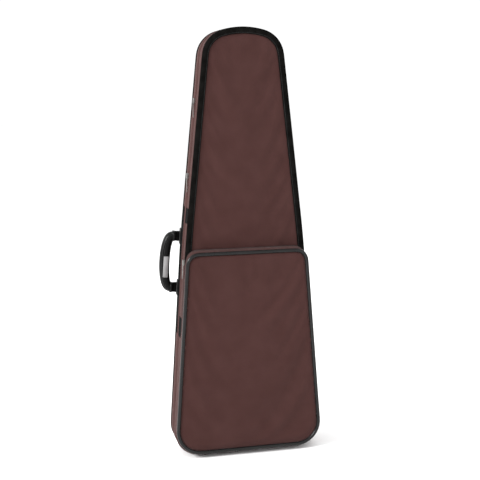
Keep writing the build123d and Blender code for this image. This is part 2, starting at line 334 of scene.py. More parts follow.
def settle(obj, border, slack, reach):
    """Lets a panel hang in the seam round its border as slack cloth, moving no further than reach."""
    flat = np.array([(vertex.co.x, vertex.co.z) for vertex in obj.data.vertices])
    sewn = np.flatnonzero(distance_to_curve(flat, border.points) < 1.5 * STEP)
    obj.vertex_groups.new(name="seams").add(sewn.tolist(), 1.0, "REPLACE")
    thickness = obj.modifiers["thickness"]
    thickness.show_viewport = False
    cloth = obj.modifiers.new("cloth", "CLOTH")
    cloth.settings.quality = 5
    cloth.settings.mass = 0.4
    cloth.settings.tension_stiffness = 25
    cloth.settings.compression_stiffness = 25
    cloth.settings.bending_stiffness = 9
    cloth.settings.vertex_group_mass = "seams"
    cloth.settings.shrink_min = -slack
    cloth.settings.effector_weights.gravity = 0.12
    cloth.point_cache.frame_end = CLOTH_FRAMES
    rest = np.array([vertex.co for vertex in obj.data.vertices])
    for frame_number in range(1, CLOTH_FRAMES + 1):
        bpy.context.scene.frame_set(frame_number)
    shape = obj.evaluated_get(bpy.context.evaluated_depsgraph_get())
    moved = np.array([vertex.co for vertex in shape.data.vertices]) - rest
    distance = np.linalg.norm(moved, axis=1, keepdims=True)
    moved *= np.minimum(1, reach / np.maximum(distance, 1e-9))
    obj.modifiers.remove(cloth)
    bpy.context.scene.frame_set(1)
    obj.data.vertices.foreach_set("co", (rest + moved).astype(np.float32).ravel())
    obj.data.update()
    obj.vertex_groups.clear()
    thickness.show_viewport = True


def rumple(obj, size, height, seed):
    """Moves a mesh in and out along its normals by smooth noise."""
    offset = Vector((seed * 7.3, seed * 3.1, seed * 5.7))
    places = [vertex.co.copy() for vertex in obj.data.vertices]
    normals = [vertex.normal.copy() for vertex in obj.data.vertices]
    moved = [p + n * (height * noise.noise(p / size + offset)) for p, n in zip(places, normals)]
    obj.data.vertices.foreach_set("co", np.array(moved, np.float32).ravel())
    obj.data.update()


def stitches(name, points, outward, material, pitch=4.2 * MM, length=3 * MM, radius=0.45 * MM):
    """Row of thread stitches along a line of points, lying on the surface that faces outward."""
    points, outward = np.asarray(points), np.asarray(outward)
    along = distance_along(points)
    at = np.arange(pitch / 2, along[-1], pitch)
    centre = np.stack([np.interp(at, along, points[:, k]) for k in range(3)], 1)
    up = np.stack([np.interp(at, along, outward[:, k]) for k in range(3)], 1)
    ahead = np.stack([np.interp(at + MM, along, points[:, k]) for k in range(3)], 1) - centre
    ahead /= np.maximum(np.linalg.norm(ahead, axis=1), 1e-9)[:, None]
    side = np.cross(ahead, up)
    rings = [(-0.5, 0.25, -0.6), (-0.3, 0.9, 0.1), (0, 1.0, 0.4), (0.3, 0.9, 0.1), (0.5, 0.25, -0.6)]
    sides = 6
    bead = []
    for place, girth, lift in rings:
        for k in range(sides):
            angle = 2 * math.pi * k / sides
            bead.append((place * length, girth * radius * math.cos(angle),
                         radius * (girth * math.sin(angle) + lift)))
    bead = np.array(bead)
    verts = (centre[:, None] + bead[:, 0, None] * ahead[:, None] + bead[:, 1, None] * side[:, None]
             + bead[:, 2, None] * up[:, None]).reshape(-1, 3)
    one = capped_grid(len(rings), sides)
    faces = [[v + n * len(bead) for v in f] for n in range(len(at)) for f in one]
    obj = make_object(name, verts, faces, material)
    face_outwards(obj)
    return obj


def on_run(run, out, depth):
    """Points of a line that follows a run, in the bag's frame."""
    x, z = (run.points + run.normals * out).T
    return np.stack([x, np.full(len(x), depth), z], 1)


def sideways(run):
    """A run's outward normals in the bag's frame."""
    return np.stack([run.normals[:, 0], np.zeros(len(run.points)), run.normals[:, 1]], 1)


def seam(name, run, out, depth, facing, material, lowest=FLOOR + MM, **sizes):
    """Stitches along a run: facing is 0 for a seam on the bag's edge, or the Y of its face."""
    points = on_run(run, out, depth)
    points[:, 2] = np.maximum(points[:, 2], lowest)
    outward = sideways(run) if facing == 0 else np.tile((0, facing, 0), (len(points), 1))
    if run.closed:
        points, outward = np.vstack([points, points[:1]]), np.vstack([outward, outward[:1]])
    return stitches(name, points, outward, material, **sizes)


def plate(name, axes, centre, size, material, corner):
    """Flat plate with rounded corners and edges: axes are its length, width and thickness."""
    length, width, thickness = (value / 2 for value in size)
    outline = []
    for sx, sy in ((1, 1), (-1, 1), (-1, -1), (1, -1)):
        start = math.atan2(sy, sx) - math.pi / 4
        for angle in np.linspace(start, start + math.pi / 2, 4):
            outline.append((sx * (length - corner) + corner * math.cos(angle),
                            sy * (width - corner) + corner * math.sin(angle)))
    layers = [(-1, 0.55), (-0.6, 0.05), (0.6, 0.05), (1, 0.55)]
    points = [
        (x * (1 - shrink * thickness / length), y * (1 - shrink * thickness / width),
         height * thickness)
        for height, shrink in layers
        for x, y in outline
    ]
    verts = np.array(points) @ np.array(axes) + np.array(centre)
    obj = make_object(name, verts, capped_grid(len(layers), len(outline)), material)
    face_outwards(obj)
    return obj


def cushion(name, low, high, material, shape=None, count=40):
    """Domed pad that lies against the plane Y = high: shape(u, v) scales its height from 0 to 1."""
    low, high = np.array(low), np.array(high)
    u, v = np.meshgrid(np.linspace(-1, 1, count), np.linspace(-1, 1, count), indexing="ij")
    edge = np.clip((1 - u ** 10) * (1 - v ** 10), 0, 1) ** 0.4 * (1 - 0.05 * (u ** 2 + v ** 2))
    if shape is not None:
        edge = edge * shape(u, v)
    middle, half = (low + high) / 2, (high - low) / 2
    x, z = middle[0] + half[0] * u, middle[2] + half[2] * v
    top = high[1] - (high[1] - low[1]) * edge
    front = np.stack([x, top, z], 2).reshape(-1, 3)
    back = np.stack([x, np.full_like(x, high[1]), z], 2).reshape(-1, 3)
    faces = grid_faces(count, count, False, False)
    total = count * count
    obj = make_object(
        name,
        np.vstack([front, back]),
        faces.tolist() + [[v + total for v in reversed(face)] for face in faces.tolist()],
        material,
        np.vstack([front[:, ::2], back[:, ::2]]),
    )
    face_outwards(obj, weld=0.02 * MM)
    return obj


def ribbon(name, path, low, high, thickness, material):
    """Webbing that follows a path in the plan view and stands from low to high in Z."""
    path = np.array(path)
    ahead = np.gradient(path, axis=0)
    out = np.stack([ahead[:, 1], -ahead[:, 0]], 1) / np.hypot(*ahead.T)[:, None]
    along = distance_along(path)
    near, far = path, path + out * thickness
    corners = [(near, low), (near, high), (far, high), (far, low)]
    verts = np.stack([np.column_stack([p, np.full(len(p), z)]) for p, z in corners], 1)
    uvs = np.stack([np.column_stack([along, np.full(len(along), z)]) for _, z in corners], 1)
    faces = capped_grid(len(path), len(corners))
    obj = make_object(name, verts.reshape(-1, 3), faces, material, uvs.reshape(-1, 2))
    face_outwards(obj)
    return obj


# ---------------------------------------------------------------- materials

def node(tree, kind, **settings):
    """Shader node with its settings, by the names of its sockets or of its own properties."""
    made = tree.nodes.new(kind)
    for key, value in settings.items():
        if key in made.inputs:
            if hasattr(value, "default_value"):
                tree.links.new(value, made.inputs[key])
            else:
                made.inputs[key].default_value = value
        else:
            setattr(made, key, value)
    return made


def start_material(name, roughness, **shader):
    """New material with its principled shader, and its tree."""
    material = bpy.data.materials.new(name)
    material.use_nodes = True
    tree = material.node_tree
    principled = tree.nodes["Principled BSDF"]
    principled.inputs["Roughness"].default_value = roughness
    for key, value in shader.items():
        principled.inputs[key.replace("_", " ")].default_value = value
    return material, tree, principled


def mottled(tree, dark, light, vector, scale):
    """Colour that drifts between two tones."""
    patches = node(tree, "ShaderNodeTexNoise", Vector=vector, Scale=scale, Detail=4.0)
    ramp = node(tree, "ShaderNodeValToRGB", Fac=patches.outputs["Fac"])
    ramp.color_ramp.elements[0].position = 0.32
    ramp.color_ramp.elements[0].color = (*dark, 1)
    ramp.color_ramp.elements[1].position = 0.68
    ramp.color_ramp.elements[1].color = (*light, 1)
    return ramp.outputs["Color"]


def threads(tree, vector, pitch, direction):
    """Ridges across one direction of the cloth."""
    wave = node(
        tree, "ShaderNodeTexWave", Vector=vector, Scale=math.pi / 10 / pitch, Distortion=0.6,
        Detail=1.0, bands_direction=direction,
    )
    wave.inputs["Detail Scale"].default_value = 0.4
    return wave.outputs["Fac"]


def weave(tree, vector, pitch):
    """Height of a plain weave: warp and weft take turns on top."""
    warp = threads(tree, vector, pitch, "X")
    weft = threads(tree, vector, pitch, "Y")
    turns = node(tree, "ShaderNodeTexChecker", Vector=vector, Scale=1 / pitch)
    mixed = node(tree, "ShaderNodeMix", data_type="FLOAT")
    tree.links.new(turns.outputs["Fac"], mixed.inputs[0])
    tree.links.new(warp, mixed.inputs[2])
    tree.links.new(weft, mixed.inputs[3])
    return mixed.outputs[0]


def bump(tree, principled, height, distance, strength):
    """Adds height to a shader, over any bump it has."""
    made = node(tree, "ShaderNodeBump", Height=height, Distance=distance, Strength=strength)
    socket = principled.inputs["Normal"]
    if socket.links:
        tree.links.new(socket.links[0].from_socket, made.inputs["Normal"])
    tree.links.new(made.outputs["Normal"], socket)


def uneven_roughness(tree, principled, vector, scale, low, high):
    """Roughness that varies with wear and handling."""
    patches = node(tree, "ShaderNodeTexNoise", Vector=vector, Scale=scale, Detail=6.0)
    span = node(tree, "ShaderNodeMapRange", Value=patches.outputs["Fac"])
    span.inputs["To Min"].default_value = low
    span.inputs["To Max"].default_value = high
    tree.links.new(span.outputs["Result"], principled.inputs["Roughness"])


def woven_cloth(name, dark, light, pitch, sheen=0.08):
    """Padded nylon or cotton cloth: plain weave, fine fluff and slow drifts of tone."""
    material, tree, principled = start_material(
        name, 0.85, Sheen_Weight=sheen, Sheen_Roughness=0.4, Specular_IOR_Level=0.08
    )
    place = node(tree, "ShaderNodeTexCoord")
    uv, solid = place.outputs["UV"], place.outputs["Object"]
    tone = mottled(tree, dark, light, solid, 24.0)
    height = weave(tree, uv, pitch)
    shade = node(tree, "ShaderNodeMix", data_type="RGBA", blend_type="MULTIPLY")
    shade.inputs[0].default_value = 0.4
    tree.links.new(tone, shade.inputs[6])
    tree.links.new(height, shade.inputs[7])
    tree.links.new(shade.outputs[2], principled.inputs["Base Color"])
    fluff = node(tree, "ShaderNodeTexNoise", Vector=solid, Scale=420.0, Detail=3.0)
    bump(tree, principled, fluff.outputs["Fac"], 0.25 * MM, 0.5)
    bump(tree, principled, height, 0.35 * MM, 0.8)
    uneven_roughness(tree, principled, solid, 14.0, 0.76, 0.94)
    return material


def ribbed_webbing(name, dark, light, pitch):
    """Black grosgrain or webbing: ribs across its length."""
    material, tree, principled = start_material(name, 0.8, Specular_IOR_Level=0)
    place = node(tree, "ShaderNodeTexCoord")
    uv, solid = place.outputs["UV"], place.outputs["Object"]
    tree.links.new(mottled(tree, dark, light, solid, 60.0), principled.inputs["Base Color"])
    bump(tree, principled, threads(tree, uv, pitch, "X"), 0.45 * MM, 0.9)
    bump(tree, principled, threads(tree, uv, pitch * 0.6, "Y"), 0.2 * MM, 0.6)
    uneven_roughness(tree, principled, solid, 35.0, 0.6, 0.85)
    return material


def vinyl(name, dark, light, roughness, coat, grain, gloss=0.08):
    """Black vinyl or leatherette with a fine pebbled grain, polished where it rubs."""
    material, tree, principled = start_material(
        name, roughness, Coat_Weight=coat, Coat_Roughness=0.25, Specular_IOR_Level=gloss
    )
    solid = node(tree, "ShaderNodeTexCoord").outputs["Object"]
    tree.links.new(mottled(tree, dark, light, solid, 30.0), principled.inputs["Base Color"])
    pebbles = node(tree, "ShaderNodeTexVoronoi", Vector=solid, Scale=1 / grain)
    bump(tree, principled, pebbles.outputs["Distance"], 0.12 * MM, 0.45)
    creases = node(tree, "ShaderNodeTexNoise", Vector=solid, Scale=120.0, Detail=5.0)
    bump(tree, principled, creases.outputs["Fac"], 0.4 * MM, 0.35)
    uneven_roughness(tree, principled, solid, 40.0, roughness - 0.06, roughness + 0.12)
    return material


def nickel(name):
    """Nickel-plated zip metal with handling marks."""
    material, tree, principled = start_material(name, 0.3, Metallic=1.0)
    solid = node(tree, "ShaderNodeTexCoord").outputs["Object"]
    tone = mottled(tree, (0.2, 0.19, 0.18), (0.36, 0.35, 0.33), solid, 160.0)
    tree.links.new(tone, principled.inputs["Base Color"])
    scratches = node(tree, "ShaderNodeTexNoise", Vector=solid, Scale=900.0, Detail=2.0)
    bump(tree, principled, scratches.outputs["Fac"], 0.05 * MM, 0.3)
    uneven_roughness(tree, principled, solid, 220.0, 0.2, 0.42)
    return material


def matt(name, dark, light, roughness, scale, relief):
    """Plain moulded or napped surface with a fine relief."""
    material, tree, principled = start_material(name, roughness, Specular_IOR_Level=0.35)
    solid = node(tree, "ShaderNodeTexCoord").outputs["Object"]
    tree.links.new(mottled(tree, dark, light, solid, scale / 8), principled.inputs["Base Color"])
    nap = node(tree, "ShaderNodeTexNoise", Vector=solid, Scale=scale, Detail=4.0)
    bump(tree, principled, nap.outputs["Fac"], relief, 0.6)
    uneven_roughness(tree, principled, solid, scale / 5, roughness - 0.08, roughness + 0.08)
    return material


def grey(tone):
    """Neutral colour of one tone."""
    return (tone, tone, tone)


def make_materials():
    """All materials by name: the record's slots, and the threads, the dull patches and the floor."""
    finishes = [
        (woven_cloth, "brown_cloth", (0.0705, 0.0292, 0.0262), (0.080, 0.0343, 0.0312), 1.1 * MM),
        (woven_cloth, "zip_tape", (0.074, 0.032, 0.0285), (0.095, 0.0435, 0.04), 0.7 * MM),
        (woven_cloth, "lining", (0.02, 0.019, 0.019), (0.034, 0.032, 0.031), 0.9 * MM, 0.15),
        (ribbed_webbing, "black_trim", (0.004, 0.0038, 0.0035), (0.009, 0.0085, 0.008), 1.6 * MM),
        (ribbed_webbing, "webbing", grey(0.007), grey(0.014), 1.2 * MM),
        (vinyl, "gloss_piping", grey(0.003), grey(0.006), 0.26, 0.45, 1.0 * MM),
        (vinyl, "leatherette", grey(0.003), grey(0.007), 0.4, 0.05, 0.9 * MM),
        (vinyl, "dull_leatherette", grey(0.006), grey(0.012), 0.75, 0, 0.9 * MM, 0),
        (matt, "zip_teeth", (0.004, 0.0035, 0.0035), (0.012, 0.010, 0.010), 0.45, 300.0, 0.05 * MM),
        (nickel, "zip_metal"),
        (matt, "label", (0.2, 0.195, 0.195), (0.28, 0.275, 0.275), 0.55, 500.0, 0.06 * MM),
        (matt, "brown_thread", (0.05, 0.022, 0.02), (0.09, 0.042, 0.038), 0.7, 700.0, 0.1 * MM),
        (matt, "black_thread", grey(0.012), grey(0.03), 0.6, 700.0, 0.1 * MM),
        (matt, "floor", grey(0.95), grey(0.97), 0.8, 40.0, 0.02 * MM),
    ]
    return {name: finish(name, *settings) for finish, name, *settings in finishes}


# ---------------------------------------------------------------- pieces

# Sections as (out, depth) pairs in millimetres
ZIP_TAPE_SECTION = (
    (-1.2, 3.0), (0.1, 3.0), (0.5, 3.4), (0.5, 5.6), (1.0, 6.2), (1.5, 6.8), (1.5, 8.2),
    (0.6, 9.0), (-1.2, 9.0),
)
WALL_SECTION = (
    (-1.6, 26), (-1.6, 1.6), (-2.6, 0.5), (-5, 0.25), (-9.5, 0.25), (-12, 0.6), (-13, 1.8),
    (-13.3, 8), (-13.3, 18), (-13, 26),
)
FRONT_EDGE_SECTION = (
    (0.4, 36.8), (1.0, 38), (1.3, 39.6), (0.6, 41.2), (-1.6, 42.3), (-4.5, 43.0), (-8, 43.1),
    (-11.5, 42.6), (-13.8, 41.4), (-14.8, 39.8), (-14.6, 38.2), (-12, 37.2), (-6, 36.8),
)
POCKET_TAPE_SECTION = ((0.4, 42.3), (0.6, 43.5), (0.3, 45.1), (-1.1, 45.1), (-1.1, 42.3))
CLOTH_THICKNESS = 1.2 * MM
QUILT_PITCH = 55 * MM
HINGE_CLOTH_HALF = 9.5 * MM
PATCH_RISE = 2.5 * MM
TAB_RISE = 1.9 * MM


def fit(obj, body, slot, *nodes):
    """Rides a piece on its body and hides the CAD nodes that it stands for; its slot is not used."""
    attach(obj, body)
    if nodes:
        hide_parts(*nodes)
    return obj


def bend(obj, bodies, start, end, slot, *nodes):
    """Bakes a piece's placement into its mesh and hides the nodes it stands for; its bodies, start, end
    and slot are not used.
    """
    if nodes:
        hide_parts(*nodes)
    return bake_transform(obj)


def on_hinge_side(x, z):
    """Where the shells are joined by cloth, not by the zip."""
    return (x > 0) & (z > HINGE_SPAN[0]) & (z < HINGE_SPAN[1])


def gusset(shell, side, run):
    """Side cloth of a half shell, softly bulged over its foam."""
    bulge = 1.2 * MM * (1 - level_part(run, -1))
    outs, depths = strip(0, ZIP_HALF - 1 * MM, PANEL_EDGE, 1.4 * MM, bulge, side, 16)
    cloth = sweep(f"{shell}_gusset_cloth", run, outs, depths, materials["brown_cloth"])
    rumple(cloth, 45 * MM, 0.9 * MM, 1 + side)
    fit(cloth, f"{shell}_shell", "brown_cloth", f"{shell}_gusset", f"{shell}_base_gusset")


def zip_half(shell, side, run):
    """Tape with its stitched fold and one row of coil, along the opening."""
    zip_run = run.part(lambda x, z: ~on_hinge_side(x, z))
    folded = section(ZIP_TAPE_SECTION, side)
    tape = sweep(f"{shell}_zip_cloth", zip_run, *folded, materials["zip_tape"])
    fit(tape, f"{shell}_shell", "zip_tape", f"{shell}_zip_tape")
    row = seam(f"{shell}_tape_stitches", zip_run, 1.6 * MM, side * 7.5 * MM, 0,
               materials["brown_thread"])
    fit(row, f"{shell}_shell", "zip_tape")
    coil = seam(
        f"{shell}_zip_coil", zip_run, -1.1 * MM, side * 1.4 * MM, 0, materials["zip_teeth"],
        pitch=2.4 * MM, length=1.7 * MM, radius=1.0 * MM,
    )
    fit(coil, f"{shell}_shell", "zip_teeth", f"{shell}_zip_teeth")


def wall(shell, side, run):
    """Foam side wall in its lining, rounded where the shells meet."""
    rounded = section(WALL_SECTION, side)
    padding = sweep(f"{shell}_wall_padding", run, *rounded, materials["lining"])
    foam = [f"{shell}_foam_{place}" for place in ("left", "right", "top", "base")]
    fit(padding, f"{shell}_shell", "lining", *foam, f"{shell}_wall_lining")


def quilting(x, z):
    """Height of diagonal quilting, 0 along its stitched lines and 1 between them."""
    across = np.abs(np.sin(math.pi * (x + z) / QUILT_PITCH))
    along = np.abs(np.sin(math.pi * (x - z) / QUILT_PITCH))
    return np.minimum(across, along) ** 0.6


def lining(shell, side, run):
    """Quilted lining of a half shell's large face."""
    def depth(x, z, edge):
        return side * (LINING_FACE - 1.6 * MM * quilting(x, z) * np.clip(edge / (10 * MM), 0, 1))

    quilt = fill(f"{shell}_quilted_lining", run.inset(13 * MM).points, 4.5 * MM, depth,
                 materials["lining"], 0.9 * MM)
    fit(quilt, f"{shell}_shell", "lining", f"{shell}_lining", f"{shell}_board")


def noise_at(x, z, size, seed):
    """Smooth noise over a panel, about -0.5 to 0.5."""
    return np.array([noise.noise((a / size, b / size, seed)) for a, b in zip(x, z)])


def rear_panel(run):
    """Back of the bag, plain and slightly crowned."""
    def depth(x, z, edge):
        crown = 2.8 * MM * (1 - np.exp(-edge / (40 * MM)))
        return 38.6 * MM + crown + 1.2 * MM * noise_at(x, z, 110 * MM, 3.0)

    border = run.inset(1.8 * MM)
    panel = fill("rear_panel_cloth", border.points, 6 * MM, depth, materials["brown_cloth"],
                 CLOTH_THICKNESS)
    settle(panel, border, slack=0.0012, reach=3 * MM)
    fit(panel, "rear_shell", "brown_cloth", "rear_panel")


def front_panel(run):
    """Front of the bag above and behind the pocket, crowned over its foam."""
    def depth(x, z, edge):
        crown = 4.2 * MM * (1 - np.exp(-edge / (26 * MM)))
        folds = 1.5 * MM * noise_at(x, z * 0.6, 70 * MM, 5.0)
        return -(38.2 * MM + crown + folds * np.clip(edge / (20 * MM), 0, 1))

    border = run.inset(11.5 * MM)
    panel = fill("front_panel_cloth", border.points, 5 * MM, depth, materials["brown_cloth"],
                 CLOTH_THICKNESS)
    settle(panel, border, slack=0.0006, reach=3 * MM)
    fit(panel, "front_shell", "brown_cloth", "front_panel")


def back_trim(run):
    """Black piping round the back edge, proud of the side cloth."""
    cord = tube(-0.3 * MM, 38.4 * MM, 2.6 * MM)
    piping = sweep("back_piping_cord", run, *cord, materials["black_trim"])
    fit(piping, "rear_shell", "black_trim", "back_piping")


def front_trim(run):
    """Padded front edge: a broad black binding above the pocket, plain cloth where the pocket is."""
    padded = section(FRONT_EDGE_SECTION, SHELLS["front"])
    upper = run.part(lambda x, z: z > BINDING_END)
    lower = run.part(lambda x, z: z < BINDING_END + STEP)
    band = sweep("front_binding_band", upper, *padded, materials["black_trim"])
    fit(band, "front_shell", "black_trim", "front_binding")
    row = seam("front_binding_stitches", upper, -12.2 * MM, -42.5 * MM, -1, materials["black_thread"])
    fit(row, "front_shell", "black_trim")
    edge = sweep("front_edge_cloth", lower, *padded, materials["brown_cloth"])
    fit(edge, "front_shell", "brown_cloth")


def hinge_cloth(run):
    """Strip of cloth down the right side that the front shell swings on."""
    hinge_run = run.part(on_hinge_side)
    half = HINGE_CLOTH_HALF
    outs, depths = strip(-0.1 * MM, -half, half, 1.3 * MM, 1.4 * MM, 1, 24)
    cloth = sweep("hinge_cloth", hinge_run, outs, depths, materials["brown_cloth"])
    middle = sum(HINGE_SPAN) / 2
    x = hinge_run.points[:, 0].mean()
    bend(cloth, ("rear_shell", "front_shell"), (x, 6 * MM, middle), (x, -6 * MM, middle), "brown_cloth")


def side_patch(name, whole_run, node_name, body, rise):
    """Black patch sewn on the left side wall, with stitches inside its long edges."""
    low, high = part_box(node_name)
    run = whole_run.part(lambda x, z: (x < 0) & (z > low.z) & (z < high.z))
    middle, half = (low.y + high.y) / 2, (high.y - low.y) / 2
    rims = np.array([-1, -0.99, -0.95, -0.8, 0, 0.8, 0.95, 0.99, 1])
    outs = rise * np.array([0, 0.7, 0.95, 1, 1.05, 1, 0.95, 0.7, 0])
    patch = sweep(name, run, outs, middle + half * rims, materials["dull_leatherette"])
    fit(patch, body, "leatherette", node_name)
    for sign, edge in ((-1, "front"), (1, "back")):
        row = seam(f"{name}_{edge}_stitches", run, rise, middle + sign * (half - 2.4 * MM), 0,
                   materials["black_thread"])
        fit(row, body, "leatherette")


# ---------------------------------------------------------------- accessory pocket

FOLD_START = (0, -70.8 * MM, FLAP_HEIGHT - 26 * MM)
FOLD_END = (0, -70.8 * MM, FLAP_HEIGHT + 26 * MM)
FLAP = ("front_shell", "pocket_flap")
SHOULDER_RISE = 5 * MM  # of the pocket's top, where its side slopes up to the bag

# Creases of the pocket's cloth in millimetres: where each starts and ends, its depth and its width
CREASES = (
    ((118, 440), (20, 330), 3.6, 14),
    ((128, 395), (45, 300), 1.8, 12),
    ((60, 480), (-50, 372), 1.5, 18),
    ((-40, 250), (-128, 70), 3.4, 22),
    ((-112, 400), (-104, 160), 3.0, 18),
    ((70, 210), (-20, 120), 1.4, 20),
    ((120, 250), (90, 60), 1.3, 14),
)


def crease_depth(x, z):
    """How far the pocket's creases draw its cloth in."""
    total = np.zeros(len(x))
    for start, end, depth, width in CREASES:
        start, end = np.array(start) * MM, np.array(end) * MM
        ahead = end - start
        places = np.stack([x, z], 1) - start
        t = np.clip(places @ ahead / (ahead @ ahead), 0, 1)
        away = np.hypot(*(places - t[:, None] * ahead).T)
        taper = np.sin(math.pi * np.clip(t * 0.9 + 0.05, 0, 1)) ** 0.7
        total += depth * MM * taper * np.exp(-((away / (width * MM)) ** 2))
    return total


def pocket_panel(run):
    """Front of the pocket: one slack cloth, creased and drawn in beside its piping."""
    def depth(x, z, edge):
        crown = 4.6 * MM * (1 - np.exp(-edge / (22 * MM)))
        slack = 2.0 * MM * noise_at(x + 0.4 * z, z, 85 * MM, 9.0)
        drawn = (crease_depth(x, z) - slack) * np.clip(edge / (18 * MM), 0, 1)
        return -(POCKET_FACE + crown - drawn)

    border = run.inset(6.8 * MM)
    panel = fill("pocket_panel_cloth", border.points, 5 * MM, depth, materials["brown_cloth"],
                 CLOTH_THICKNESS)
    settle(panel, border, slack=0.0006, reach=5 * MM)
    bend(panel, FLAP, FOLD_START, FOLD_END, "brown_cloth", "pocket_lower_panel", "pocket_flap_panel")


def pocket_piping(run):
    """Round glossy piping between the pocket's front and its side."""
    piping = sweep("pocket_piping_cord", run, *tube(-3.0 * MM, -66.2 * MM, 4.4 * MM, 18),
                   materials["gloss_piping"])
    bend(piping, FLAP, FOLD_START, FOLD_END, "gloss_piping", "pocket_lower_piping",
         "pocket_flap_piping")


def pocket_sides(run):
    """Side cloth of the pocket: whole below the fold, split by the zip above it."""
    above = np.clip((run.points[:, 1:] - FLAP_HEIGHT + 6 * MM) / (12 * MM), 0, 1)
    across = np.linspace(0, 1, 12)
    rear = POCKET_BACK + (POCKET_ZIP + 1.2 * MM - POCKET_BACK) * above
    depth = POCKET_FRONT + 2 * MM - (POCKET_FRONT + 2 * MM - rear) * across
    down = level_part(run, -1)
    bulge = np.sin(math.pi * across)
    sag = 6.5 * MM * bulge ** 0.6 * down
    lift = SHOULDER_RISE * level_part(run, 1) * across + 0.7 * MM * bulge * (1 - down) + sag
    outs = np.concatenate([lift, lift[:, ::-1] - 1.3 * MM], 1)
    cloth = sweep("pocket_side_cloth", run, outs, -np.concatenate([depth, depth[:, ::-1]], 1),
                  materials["brown_cloth"])
    bend(cloth, FLAP, FOLD_START, FOLD_END, "brown_cloth", "pocket_lower_gusset",
         "pocket_flap_gusset", "pocket_flap_zip_tape")


def pocket_zip(run):
    """Zip at the back of the pocket's side, along the flap."""
    upper = run.part(lambda x, z: z > FLAP_HEIGHT)
    rise = SHOULDER_RISE * level_part(upper, 1)
    outs, depths = section(POCKET_TAPE_SECTION, SHELLS["front"])
    tape = sweep("pocket_zip_cloth", upper, rise + outs, depths, materials["zip_tape"])
    fit(tape, "front_shell", "zip_tape", "pocket_fixed_zip_tape")
    lifted = Run(upper.points + upper.normals * rise, False, upper.normals)
    fine = {"pitch": 2.4 * MM, "length": 1.7 * MM, "radius": 0.6 * MM}
    fixed = seam("pocket_fixed_coil", lifted, 0.3 * MM, -45.6 * MM, 0, materials["zip_teeth"], **fine)
    fit(fixed, "front_shell", "zip_teeth", "pocket_fixed_zip_teeth")
    loose = seam("pocket_flap_coil", lifted, 0.3 * MM, -47.0 * MM, 0, materials["zip_teeth"], **fine)
    bend(loose, FLAP, FOLD_START, FOLD_END, "zip_teeth", "pocket_flap_zip_teeth")


# ---------------------------------------------------------------- handle

def handle_place():
    """The handle's own frame: X out of the bag, Y to the front and Z up its swing axis."""
    swing = next(joint for joint in frame["joints"] if joint["name"] == "handle_swing")
    up = Vector(swing["axis"]).normalized()
    front = Vector((0, -1, 0))
    out = front.cross(up)
    return Matrix.Translation(swing["pos_m"]) @ Matrix((out, front, up)).transposed().to_4x4()


def loft(name, rings, material):
    """Closed skin through rings of points, capped at both ends."""
    rings = np.array(rings, float)
    rows, columns, _ = rings.shape
    along = distance_along(rings.mean(1))
    around = distance_along(rings[rows // 2])
    places = np.stack(np.meshgrid(along, around, indexing="ij"), 2).reshape(-1, 2)
    obj = make_object(name, rings.reshape(-1, 3), capped_grid(rows, columns), material, places)
    face_outwards(obj)
    return obj


def placed(obj, matrix):
    """Moves a mesh by a matrix."""
    obj.data.transform(matrix)
    obj.data.update()
    return obj


def rounded_section(half_out, half_depth, power, count=28):
    """Section of a stuffed form, as (outs, depths): power 2 is an ellipse."""
    angle = np.linspace(0, 2 * math.pi, count, endpoint=False)
    cosine, sine = np.cos(angle), np.sin(angle)
    outs = half_out * np.sign(cosine) * np.abs(cosine) ** (2 / power)
    return outs, half_depth * np.sign(sine) * np.abs(sine) ** (2 / power)


def grip_run():
    """Centre line of the grip in the handle's frame, a rounded D from bottom to top."""
    turn = np.linspace(-math.pi / 2, math.pi / 2, 60)
    out = GRIP_FOOT + (GRIP_REACH - GRIP_FOOT) * np.cos(turn) ** 0.6
    return Run(np.stack([out, GRIP_HALF_SPAN * np.sin(turn)], 1), closed=False)


def handle_grip(place):
    """Stuffed leatherette grip with a welt and stitches along each edge."""
    run = grip_run()
    swell = 0.86 + 0.14 * np.sin(math.pi * run.along / run.along[-1])[:, None]
    outs, depths = rounded_section(12.6 * MM, 14.2 * MM, 2.4)
    grip = sweep("handle_grip_padding", run, outs * swell, depths * swell, materials["leatherette"],
                 lowest=-LENGTH)
    placed(grip, place)
    fit(grip, "handle", "leatherette", "handle_grip")
    for sign, edge in ((-1, "back"), (1, "front")):
        welt_out, welt_depth = tube(7.4 * MM, sign * 12.6 * MM, 1.2 * MM, 10)
        welt = sweep(f"handle_{edge}_welt", run, welt_out * swell, welt_depth * swell,
                     materials["gloss_piping"], lowest=-LENGTH)
        fit(placed(welt, place), "handle", "leatherette")
        row = seam(f"handle_{edge}_stitches", run, 4.2 * MM, sign * 13.4 * MM, sign,
                   materials["black_thread"], lowest=-LENGTH, pitch=3.4 * MM)
        fit(placed(row, place), "handle", "leatherette")


def handle_label(place):
    """Plain light-grey label sewn on the front of the grip, with a raised field."""
    axes = ((0, 0, 1), (1, 0, 0), (0, 1, 0))
    centre = Vector((LABEL_PLACE[0], 14.2 * MM, LABEL_PLACE[1]))
    tag = plate("handle_label_tag", axes, centre, (52 * MM, 12 * MM, 1.6 * MM),
                materials["label"], 1.5 * MM)
    fit(placed(tag, place), "handle", "label", "handle_label")
    inner = plate("handle_label_field", axes, centre + Vector((0, 0.75 * MM, 0)),
                  (46 * MM, 8 * MM, 0.6 * MM), materials["label"], 1.2 * MM)
    fit(placed(inner, place), "handle", "label")


